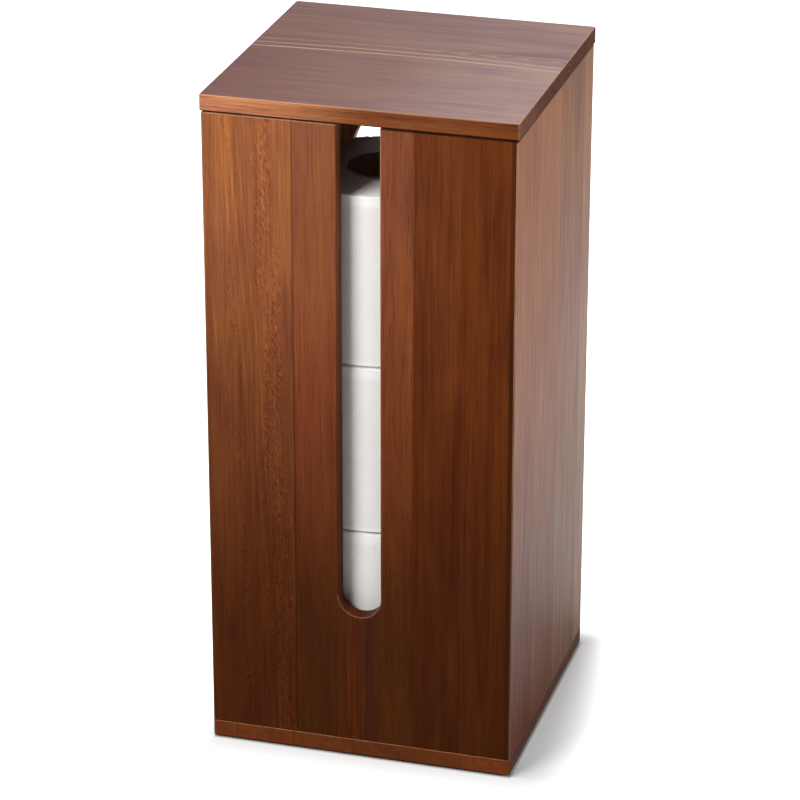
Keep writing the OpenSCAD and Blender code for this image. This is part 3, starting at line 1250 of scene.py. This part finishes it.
@dataclass(frozen=True)
class ArrisWearAndShade:
    """How worn the arrises of the case are. Less than 0 stands for painted shade on arrises in seams and in
    shadow.
    """

    slot_foot: float = 1.6
    slot_right: float = 0.9
    slot_left: float = -0.3
    top_right: float = -0.8
    top_left: float = 0.75
    corner_right: float = 1.0
    corner_left: float = 0.5
    board_above: float = 0.9
    board_beside: float = 0.1
    board_below: float = -0.9

    def of_board(self, _: Vector, normal: Vector) -> float:
        """Returns how worn a flat board's arris is by the way that it faces; the ones facing down get painted
        shade.
        """
        if abs(normal.z) > 0.1:
            return self.board_above if normal.z > 0 else self.board_below
        return self.board_beside


@dataclass
class Case:
    """The case: base board, four mitred walls, raised floor, bearers, screws and foot pads."""

    width: float = 178.0
    depth: float = 175.4
    pad_height: float = 1.2
    base_top: float = 11.2
    wall_top: float = 384.7
    wall: float = 10.0
    corner: float = 1.0
    arris: float = 0.55
    slot_width: float = 25.0
    slot_centre: float = 102.7
    opening_width: float = 112.0
    opening_low_centre: float = 146.2
    opening_high_centre: float = 297.2
    floor_low: float = 26.2
    floor_high: float = 35.2
    floor_half: tuple[float, float] = (78.5, 77.2)
    bearer_inner: float = 64.0
    bearer_outer: float = 79.0
    front_screw_inset: float = 30.0
    side_screw_inset: float = 36.0
    bearer_screw_inset: float = 44.0
    base_hole_room: float = 5.0
    bearer_hole_room: float = 12.0
    wall_bite: float = 20.0
    bearer_bite: float = 10.0
    pad_inset: float = 14.0
    pad_radius: float = 8.0
    pad_rim: float = 0.35
    tool_margin: float = 2.0
    wear_and_shade: ArrisWearAndShade = ArrisWearAndShade()
    screws: Screws = field(default_factory=Screws)

    @property
    def half(self) -> tuple[float, float]:
        """Half the case's width and depth."""
        return self.width / 2, self.depth / 2

    def build(self) -> None:
        """Builds and dresses every piece of the case."""
        self._base()
        self._walls()
        self._floor()
        self._fittings()

    def _screw_places(self) -> tuple[list[Point], list[Point]]:
        """Returns the places of the wall screws and of the bearer screws."""
        x, y = self.half
        fronts = corners(x - self.front_screw_inset, y - self.wall / 2, self.pad_height)
        sides = corners(x - self.wall / 2, y - self.side_screw_inset, self.pad_height)
        middle = (self.bearer_inner + self.bearer_outer) / 2
        return fronts + sides, corners(middle, y - self.bearer_screw_inset, self.pad_height)

    def _base(self) -> None:
        """Shapes the base board, eases its arrises and sinks the screw holes."""
        x, y = self.half
        low, high = (-x, -y, self.pad_height), (x, y, self.base_top)
        board = start_board("base", low, high, self.corner, self.arris)
        walls, bearers = self._screw_places()
        holes = self.screws.holes(walls + bearers, self.base_top + self.base_hole_room)
        apply_boolean(board, holes, "DIFFERENCE")
        mark_arrises(board, self.wear_and_shade.of_board)
        smooth(board)
        # The left and right faces take a greyer copy of the stain: painted sheen.
        for wood in (BASE_WOOD, BASE_SIDE_PAINTED_SHEEN):
            board.data.materials.append(wood.make())
        for face in board.data.polygons:
            face.material_index = int(abs(face.normal.x) > 0.7)
        hand_over(board, "case", ["base_board"], "base_wood", board.data.materials[0])

    def _rounded_body(self) -> Piece:
        """Returns the outer shape that the four walls share, with its corners and top eased."""
        x, y = self.half
        body = start_block("outer", (-x, -y, self.base_top), (x, y, self.wall_top))
        with Shaping(body) as shape:
            shape.edges(lambda a, b: abs(a.z - b.z) > 1)
            shape.bevel(self.corner, segments=5)
            shape.edges(lambda a, b: min(a.z, b.z) > self.wall_top - NEAR)
            shape.bevel(self.arris, segments=3)
        return body

    def _panel(self, name: str, wall: Wall) -> Piece:
        """Shapes one wall with mitred ends, cut to the outer shape of the case.

        Args:
            name: The wall's name.
            wall: Which wall it is.

        Returns:
            The panel.
        """
        x, y = self.half
        nx, ny = wall.value
        low = (-x if nx <= 0 else x - self.wall, -y if ny <= 0 else y - self.wall, self.base_top)
        high = (x if nx >= 0 else -x + self.wall, y if ny >= 0 else -y + self.wall, self.wall_top)
        panel = start_block(name, low, high)
        inner_x = (x - self.wall) * nx
        inner_y = (y - self.wall) * ny
        with Shaping(panel) as shape:
            if nx:
                shape.verts(lambda p: abs(p.x - inner_x) < NEAR)
                shape.widen((0, 0, 0), y=(y - self.wall) / y)
            else:
                shape.verts(lambda p: abs(p.y - inner_y) < NEAR)
                shape.widen((0, 0, 0), x=(x - self.wall) / x)
        apply_boolean(panel, self._rounded_body(), "INTERSECT")
        return panel

    def _opening(self, panel: Piece, wall: Wall, width: float, low: float, high: float) -> None:
        """Cuts an upright opening with round ends through a panel and eases its edges.

        Args:
            panel: The panel.
            wall: Which wall it is, front or back.
            width: The opening's width.
            low: The height of its lower round's centre.
            high: The height of its upper round's centre.
        """
        y = self.half[1]
        side = wall.value[1]
        middle = side * (y - self.wall / 2)
        through = self.wall + 2 * self.tool_margin
        tool = start_rod("opening", (0, middle, low), width / 2, through, along="Y", sides=96)
        with Shaping(tool) as shape:
            shape.verts(lambda p: p.z > low + NEAR)
            shape.slide(z=high - low)
        apply_boolean(panel, tool, "DIFFERENCE")
        reach = width / 2 + NEAR
        with Shaping(panel) as shape:
            for face in (side * y, side * (y - self.wall)):
                shape.edges(lambda a, b: self._at_rim(a, b, face, reach))
                shape.bevel(self.arris, segments=3)

    def _at_rim(self, a: Vector, b: Vector, face: float, reach: float) -> bool:
        """Tells whether an edge lies on a face at an opening's rim, and not on the wall's top."""
        on_face = all(abs(end.y - face) < NEAR and abs(end.x) < reach for end in (a, b))
        below_top = max(a.z, b.z) < self.wall_top - self.arris - 0.15
        return on_face and (below_top or abs(a.z - b.z) > 5)

    def _wear_and_shade_at(self, place: Vector, _: Vector) -> float:
        """Returns how worn a wall's arris is, most at the right corners; the slot's left side and the right
        half of the top get painted shade.
        """
        wear_and_shade = self.wear_and_shade
        at_right = place.x > 0
        if abs(place.x) < self.slot_width / 2 + 1 and place.y < 0:
            if place.z < self.slot_centre:
                return wear_and_shade.slot_foot
            return wear_and_shade.slot_right if at_right else wear_and_shade.slot_left
        if place.z > self.wall_top - self.arris - 0.1:
            return wear_and_shade.top_left if place.x < 0 else wear_and_shade.top_right
        return wear_and_shade.corner_right if at_right else wear_and_shade.corner_left

    def _walls(self) -> None:
        """Shapes and dresses the four walls."""
        side_finish = SIDE_WOOD.make()
        front = self._panel("front_wall", Wall.FRONT)
        past_top = self.wall_top + 4 * self.wall
        self._opening(front, Wall.FRONT, self.slot_width, self.slot_centre, past_top)
        back = self._panel("back_wall", Wall.BACK)
        self._opening(back, Wall.BACK, self.opening_width, self.opening_low_centre, self.opening_high_centre)
        left = self._panel("left_wall", Wall.LEFT)
        right = self._panel("right_wall", Wall.RIGHT)
        for panel, node, slot, finish in (
            (front, "front_panel", "front_wood", FRONT_WOOD.make()),
            (back, "back_panel", "back_wood", BACK_WOOD.make()),
            (left, "left_side_panel", "side_wood", side_finish),
            (right, "right_side_panel", "side_wood", side_finish),
        ):
            mark_arrises(panel, self._wear_and_shade_at)
            smooth(panel)
            hand_over(panel, "case", [node], slot, finish)

    def _floor(self) -> None:
        """Shapes the raised floor and the two bearers under it."""
        finish = INNER_WOOD.make()
        x, y = self.floor_half
        boards = [("raised_floor", "inner_floor", (-x, -y, self.floor_low), (x, y, self.floor_high))]
        reach = self.half[1] - self.wall
        for name, side in (("left", -1), ("right", 1)):
            ends = sorted((side * self.bearer_inner, side * self.bearer_outer))
            low = (ends[0], -reach, self.base_top)
            high = (ends[1], reach, self.floor_low)
            boards.append((name + "_bearer", name + "_floor_bearer", low, high))
        _, places = self._screw_places()
        for name, node, low, high in boards:
            board = start_block(name, low, high)
            with Shaping(board) as shape:
                shape.everything()
                shape.bevel(self.arris, segments=2)
            if "bearer" in name:
                holes = self.screws.holes(places, self.base_top + self.bearer_hole_room)
                apply_boolean(board, holes, "DIFFERENCE")
            mark_arrises(board)
            smooth(board)
            hand_over(board, "case", [node], "inner_wood", finish)

    def _fittings(self) -> None:
        """Builds the screws and the foot pads."""
        steel = ZincSteel().make()
        walls, bearers = self._screw_places()
        board = self.base_top - self.pad_height
        for name, node, places, bite in (
            ("screws_in_walls", "wall_screws", walls, self.wall_bite),
            ("screws_in_bearers", "bearer_screws", bearers, self.bearer_bite),
        ):
            screws = self.screws.build(name, places, board + bite)
            hand_over(screws, "case", [node], "screw_steel", steel)
        x, y = self.half
        disc = Discs(self.pad_radius, self.pad_height, self.pad_rim)
        pads = disc.build("pads", corners(x - self.pad_inset, y - self.pad_inset, 0))
        hand_over(pads, "case", ["foot_pads"], "pad_rubber", PadRubber().make())


@dataclass
class Lid:
    """The lift-off lid: a board, two cleats, their screws and four thin bumpers."""

    half_width: float = 89.6
    half_depth: float = 88.3
    low: float = 385.5
    high: float = 395.0
    arris: float = 0.6
    corner: float = 1.0
    cleat_inner: float = 66.0
    cleat_outer: float = 78.0
    cleat_reach: float = 76.7
    cleat_low: float = 375.5
    screw_y: float = 49.7
    screw_length: float = 16.0
    hole_room: float = 0.5
    cleat_round: float = 0.8
    bumper_radius: float = 3.5
    bumper_low: float = 384.8
    bumper_rim: float = 0.2
    bumper_place: tuple[float, float] = (84.0, 82.7)
    wear_and_shade: ArrisWearAndShade = ArrisWearAndShade(board_above=1.0, board_beside=1.0)
    screws: Screws = field(default_factory=Screws)

    def build(self) -> None:
        """Builds and dresses every piece of the lid."""
        self._board()
        self._cleats()
        self._fittings()

    def _screw_places(self) -> list[Point]:
        """Returns the places of the cleat screws."""
        return corners((self.cleat_inner + self.cleat_outer) / 2, self.screw_y, self.cleat_low)

    def _board(self) -> None:
        """Shapes the lid board and gives its front edge its own copy of the stain, with a painted highlight
        at the left end.
        """
        x, y = self.half_width, self.half_depth
        board = start_board("lid", (-x, -y, self.low), (x, y, self.high), self.corner, self.arris)
        holes = self.screws.holes(self._screw_places(), self.screw_length + self.hole_room)
        apply_boolean(board, holes, "DIFFERENCE")
        mark_arrises(board, self.wear_and_shade.of_board)
        smooth(board)
        # The front edge takes the copy with the painted highlight, and the two ends take the end grain.
        for wood in (LID_WOOD, LID_EDGE_PAINTED_LIGHT, LID_END_WOOD):
            board.data.materials.append(wood.make())
        for face in board.data.polygons:
            face.material_index = 1 if face.normal.y < -0.7 else 2 if abs(face.normal.x) > 0.7 else 0
        hand_over(board, "lid", ["lid_board"], "lid_wood", board.data.materials[0])

    def _cleats(self) -> None:
        """Shapes the two cleats that keep the lid in place."""
        finish = CLEAT_WOOD.make()
        for name, side in (("left", -1), ("right", 1)):
            ends = sorted((side * self.cleat_inner, side * self.cleat_outer))
            low = (ends[0], -self.cleat_reach, self.cleat_low)
            high = (ends[1], self.cleat_reach, self.low)
            cleat = start_block(name + "_cleat", low, high)
            with Shaping(cleat) as shape:
                shape.everything()
                shape.bevel(self.cleat_round, segments=3)
            apply_boolean(cleat, self.screws.holes(self._screw_places(), self.screw_length), "DIFFERENCE")
            mark_arrises(cleat)
            smooth(cleat)
            hand_over(cleat, "lid", [name + "_lid_cleat"], "cleat_wood", finish)

    def _fittings(self) -> None:
        """Builds the cleat screws and the bumpers."""
        screws = self.screws.build("screws_in_cleats", self._screw_places(), self.screw_length)
        hand_over(screws, "lid", ["cleat_screws"], "screw_steel", ZincSteel().make())
        disc = Discs(self.bumper_radius, self.low - self.bumper_low, self.bumper_rim)
        bumpers = disc.build("bumpers", corners(*self.bumper_place, self.bumper_low))
        hand_over(bumpers, "lid", ["lid_bumpers"], "pad_rubber", PadRubber().make())


@dataclass
class RollStack:
    """Three standard rolls, each a wound ring of tissue on a board core."""

    axis: tuple[float, float] = (-3.3, -23.7)
    lowest: float = 35.5
    height: float = 101.6
    pitch: float = 101.9
    outer: float = 50.8
    paper_bore: float = 21.05
    core_outer: float = 21.0
    core_bore: float = 20.0
    shoulder: float = 1.0
    bore_round: float = 0.5
    core_round: float = 0.25
    slack: float = 0.25
    crumple: float = 0.9
    crumple_width: float = 2.5
    rings: int = 6
    steps: int = 280
    rows: int = 30
    wave: float = 0.22
    wave_fineness: float = 38.0
    crumple_fineness: float = 420.0
    bore_rest: float = 30.0

    def build(self) -> None:
        """Builds and dresses the three rolls."""
        tissue = Tissue(axis=self.axis, radius=self.outer)
        board = CoreBoard(axis=self.axis).make()
        ends = tissue.make_end()
        for index, name in enumerate(("bottom_roll", "middle_roll", "top_roll")):
            low = self.lowest + index * self.pitch
            high = low + self.height
            self._paper(name, (low + self.slack, high - self.slack), tissue.make(low, high), ends)
            self._core(name, (low, high), board)

    def _turned(
        self, name: str, radii: tuple[float, float], reach: tuple[float, float], soft: tuple[float, float]
    ) -> Piece:
        """Turns a ring about the rolls' axis from a section with eased corners.

        Args:
            name: The piece's name.
            radii: The radius of its bore and its outer radius.
            reach: The heights of its two ends.
            soft: How far the inner and the outer corners are eased.

        Returns:
            The ring.
        """
        deselect_all()
        x, y = self.axis
        inner, outer = radii
        low, high = reach
        middle = ((x + (inner + outer) / 2) * MM, y * MM, (low + high) / 2 * MM)
        size = ((outer - inner) * MM, (high - low) * MM, 1)
        bpy.ops.mesh.primitive_plane_add(size=1, location=middle, rotation=(math.pi / 2, 0, 0))
        ring = bpy.context.active_object
        ring.name = name
        ring.scale = size
        set_down(ring)
        with Shaping(ring) as shape:
            for is_outer, width in ((False, soft[0]), (True, soft[1])):
                shape.verts(lambda p: (p.x - x > (inner + outer) / 2) == is_outer)
                shape.bevel(width, segments=4, corners=True)
            shape.everything()
            bpy.ops.mesh.delete(type="ONLY_FACE")
            shape.edges(lambda a, b: abs(a.z - b.z) > self.height / 2)
            bpy.ops.mesh.subdivide(number_cuts=self.rows)
            shape.edges(lambda a, b: abs(a.x - b.x) > self.shoulder)
            bpy.ops.mesh.subdivide(number_cuts=self.rings)
            shape.everything()
            bpy.ops.mesh.spin(steps=self.steps, angle=math.tau, center=(x * MM, y * MM, 0), axis=(0, 0, 1))
            shape.tidy()
        return ring

    @staticmethod
    def _uneven(spot: Vector) -> float:
        """Returns an uneven share from 0 to 1 that is the same at each run."""
        return 0.5 + 0.5 * noise.noise(spot)

    def _paper(
        self, name: str, reach: tuple[float, float], side: bpy.types.Material, ends: bpy.types.Material
    ) -> None:
        """Turns a roll's paper, lets it give as wound tissue does, crumples its rim and dresses it.

        Args:
            name: The roll's name, which is also its body's.
            reach: The heights of its two ends.
            side: The finish of its side.
            ends: The finish of its two ends.
        """
        soft = (self.bore_round, self.shoulder)
        paper = self._turned(name + "_tissue", (self.paper_bore, self.outer), reach, soft)
        centre = Vector((self.axis[0], self.axis[1], 0)) * MM
        for vert in paper.data.vertices:
            arm = Vector((vert.co.x, vert.co.y, 0)) - centre
            if arm.length > self.bore_rest * MM:
                spot = Vector((vert.co.x, vert.co.y, vert.co.z * 0.6)) * self.wave_fineness
                length = arm.length - self.wave * self._uneven(spot) * MM
                vert.co = centre + arm.normalized() * length + Vector((0, 0, vert.co.z))
                at_rim = arm.length > (self.outer - self.crumple_width) * MM
                if at_rim and vert.co.z > (reach[1] - self.shoulder - 0.1) * MM:
                    vert.co.z -= self.crumple * self._uneven(vert.co * self.crumple_fineness) * MM
        paper.data.materials.append(side)
        paper.data.materials.append(ends)
        for face in paper.data.polygons:
            face.material_index = int(abs(face.normal.z) > 0.75)
        hand_over(paper, name, [name + "_paper"], "tissue", side)

    def _core(self, name: str, reach: tuple[float, float], finish: bpy.types.Material) -> None:
        """Turns a roll's board core and dresses it."""
        soft = (self.core_round, self.core_round)
        core = self._turned(name + "_tube", (self.core_bore, self.core_outer), reach, soft)
        hand_over(core, name, [name + "_core"], "core_board", finish)


@dataclass
class Lamp:
    """A soft rectangular lamp that looks at a point."""

    name: str
    place: Point
    target: Point
    size: tuple[float, float]
    power: float
    colour: Colour = (1.0, 1.0, 1.0)
    glossy: bool = True

    def build(self) -> None:
        """Hangs the lamp, which shows in glossy faces only where it is meant to."""
        light = bpy.data.lights.new(self.name, "AREA")
        light.shape = "RECTANGLE"
        light.size, light.size_y = self.size
        light.energy = self.power
        light.color = self.colour
        lamp = bpy.data.objects.new(self.name, light)
        lamp.visible_glossy = self.glossy
        bpy.context.collection.objects.link(lamp)
        aim = Vector(self.target) - Vector(self.place)
        lamp.location = self.place
        lamp.rotation_euler = aim.to_track_quat("-Z", "Y").to_euler()


@dataclass
class Studio:
    """A plain pale floor, soft lamps, a white room and the camera. Its places are in metres."""

    lens: float = 162.135
    azimuth: float = 15.98
    elevation: float = 23.56
    roll: float = 0.067
    look_at: Point = (-0.0222, 0.0730, 0.1551)
    distance: float = 2.1687
    floor_half: float = 6.0
    floor_grey: float = 0.50
    bounce_grey: float = 0.42
    floor_glow: tuple[float, float, float] = (0.14, 0.25, 1.0)
    case_half: tuple[float, float] = (0.089, 0.0877)
    turn_of_side: tuple[float, float] = (-0.01, 0.03)
    glow_reach: tuple[float, float] = (0.0, 0.092)
    contact: float = 0.0015
    left_glow: float = 4.0
    glow_narrowing: tuple[float, float] = (1.0, 0.25)
    gloss_reach: tuple[float, float] = (0.01, 0.14)
    gloss_glow: float = 0.46
    gloss_fall: tuple[float, float, float] = (0.35, 0.80, 0.30)
    room_light: float = 0.135
    lamps: tuple[Lamp, ...] = (
        Lamp("key", (-0.42, -0.84, 0.86), (0.0, -0.08, 0.26), (0.44, 0.40), 12.2),
        Lamp("top", (-0.12, -0.12, 3.00), (0.0, 0.0, 0.0), (0.24, 0.24), 72.0),
        Lamp("fill", (1.20, -0.15, 0.55), (0.1, 0.0, 0.2), (0.80, 0.80), 10.2),
        Lamp("rear", (-0.12, 1.15, 0.425), (0.0, 0.0, 0.34), (0.30, 0.06), 6.0, glossy=False),
    )

    def build(self) -> None:
        """Builds the studio."""
        self._camera()
        self._floor()
        self._room()
        for lamp in self.lamps:
            lamp.build()
        bpy.context.scene.view_settings.view_transform = "Standard"

    def _camera(self) -> None:
        """Sets up the camera at the photograph's viewing angle."""
        data = bpy.data.cameras.new("camera")
        data.lens = self.lens
        data.sensor_width = 36.0
        data.clip_start, data.clip_end = 0.05, 60.0
        camera = bpy.data.objects.new("camera", data)
        bpy.context.collection.objects.link(camera)
        turn, tilt = math.radians(self.azimuth), math.radians(self.elevation)
        level = Vector((math.sin(turn), -math.cos(turn), 0))
        back = level * math.cos(tilt) + Vector((0, 0, math.sin(tilt)))
        spin = Matrix.Rotation(math.radians(self.roll), 4, "Z")
        camera.matrix_world = (
            Matrix.Translation(Vector(self.look_at) + back * self.distance)
            @ (-back).to_track_quat("-Z", "Y").to_matrix().to_4x4()
            @ spin
        )
        bpy.context.scene.camera = camera

    def _floor(self) -> None:
        """Lays the plain pale floor, which shows white away from the case and keeps its shadow."""
        deselect_all()
        bpy.ops.mesh.primitive_plane_add(size=2 * self.floor_half, location=(0, 0, 0))
        floor = settle("studio_floor")
        bench = FinishBench("studio_floor")
        seen = bench.ray("Camera")
        grey = bench.blend(seen, (self.bounce_grey,) * 3, (self.floor_grey,) * 3)
        bench.surface(Base_Color=grey, Roughness=1.0, Specular_IOR_Level=0.0)
        bench.surface(Emission_Color=(1, 1, 1, 1), Emission_Strength=self._glow(bench, seen))
        floor.data.materials.append(bench.material)

    def _glow(self, bench: FinishBench, seen: Flow) -> Flow:
        """Returns how white the floor glows, by the distance from the case.

        Args:
            bench: The floor's node tree.
            seen: Whether a ray comes from the camera.

        Returns:
            The strength to the eye, or in glossy faces, where the floor lights up further away.
        """
        x, y, _ = bench.split(bench.out(bench.node("ShaderNodeTexCoord"), "Object"))
        half_x, half_y = self.case_half
        past_x = bench.math("MAXIMUM", bench.math("ABSOLUTE", x) - half_x, 0.0)
        past_y = bench.math("MAXIMUM", bench.math("ABSOLUTE", y) - half_y, 0.0)
        away = hypotenuse(past_x * x.fit(-half_x, 0.0, self.left_glow, 1.0), past_y)
        in_front, at_side, far = self.floor_glow
        start, end = self.turn_of_side
        close = y.fit(start - half_y, end - half_y, in_front, at_side)
        near = away / y.fit(-half_y, half_y, *self.glow_narrowing, soft=False)
        near_glow = seen * near.fit(*self.glow_reach, close, far) * away.fit(0.0, self.contact)
        start, end, rest = self.gloss_fall
        far_glow = away.fit(*self.gloss_reach, 0.0, self.gloss_glow) * away.fit(start, end, 1.0, rest)
        return near_glow + bench.ray("Glossy", "Transmission") * far_glow

    def _room(self) -> None:
        """Makes the room white to the eye and gives it a low even light."""
        world = bpy.data.worlds.new("room")
        world.use_nodes = True
        bpy.context.scene.world = world
        bench = NodeBench(world.node_tree)
        seen = bench.ray("Camera", "Glossy", "Transmission")
        glow = bench.node("ShaderNodeBackground")
        bench.feed(glow.inputs["Color"], (1, 1, 1, 1))
        bench.feed(glow.inputs["Strength"], seen.fit(0.0, 1.0, self.room_light, 1.0, soft=False))
        bench.feed(bench.node("ShaderNodeOutputWorld").inputs["Surface"], bench.out(glow))


def main() -> None:
    """Builds the holder and its studio."""
    logging.basicConfig(level=logging.INFO, format="%(name)s: %(message)s")
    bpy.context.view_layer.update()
    Case().build()
    Lid().build()
    RollStack().build()
    Studio().build()


if __name__ == "__main__":
    main()
